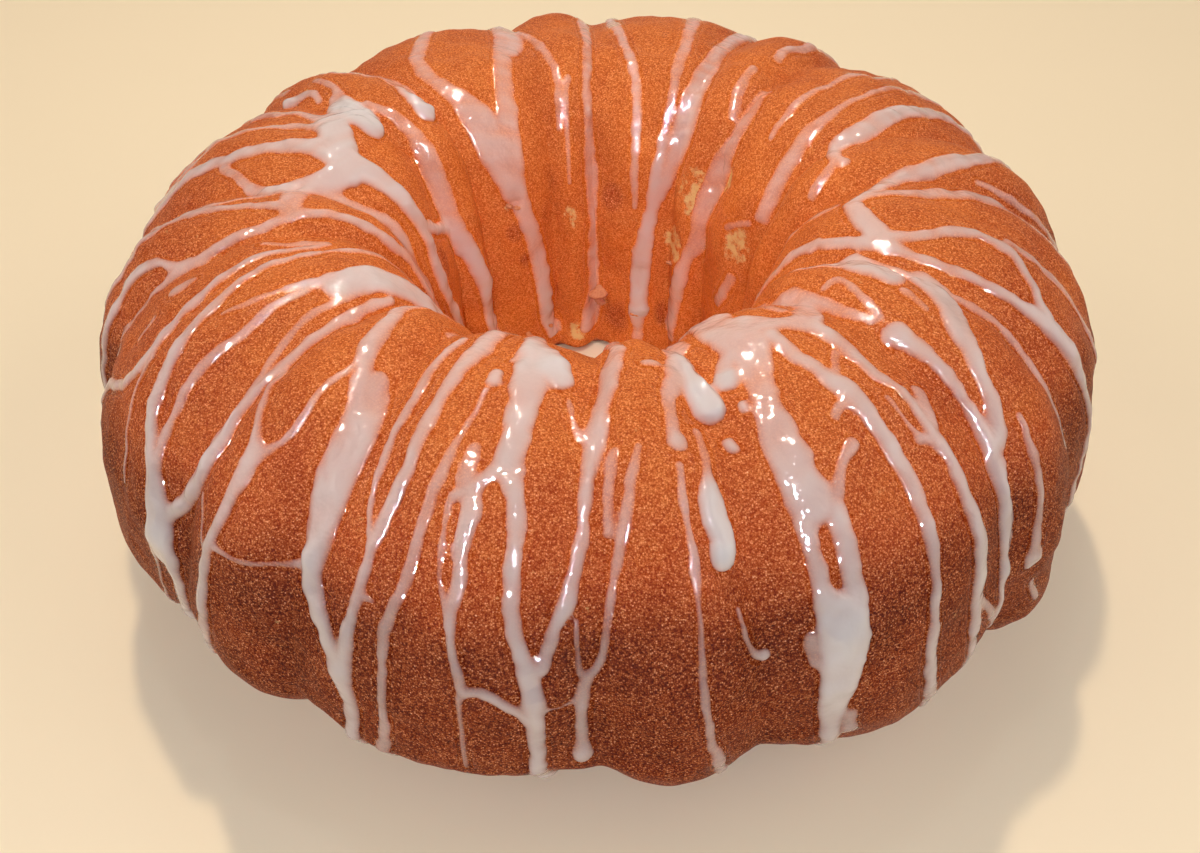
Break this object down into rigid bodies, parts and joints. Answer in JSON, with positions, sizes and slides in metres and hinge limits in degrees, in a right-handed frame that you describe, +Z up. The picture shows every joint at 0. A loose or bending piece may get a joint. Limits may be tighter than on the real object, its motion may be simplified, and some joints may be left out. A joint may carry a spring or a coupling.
{
  "type": "bundt cake",
  "caption": "Tall ring cake with alternating wide and narrow flutes that run over a rounded crown and down into a flared centre hole.",
  "frame": {"origin": "middle of the flat underside, at the centre of the ring", "axes": "+Z up through the centre hole, -Y towards the side that the picture shows nearest"},
  "size_m": [0.2511, 0.25, 0.091],
  "materials": {
    "cake_crust": "browned, fine-pored crust, slightly moist",
    "glaze": "wet, glossy white sugar glaze, see-through where thin"
  },
  "bodies": {
    "root": {"cake": "cake_crust"}
  },
  "joints": []
}
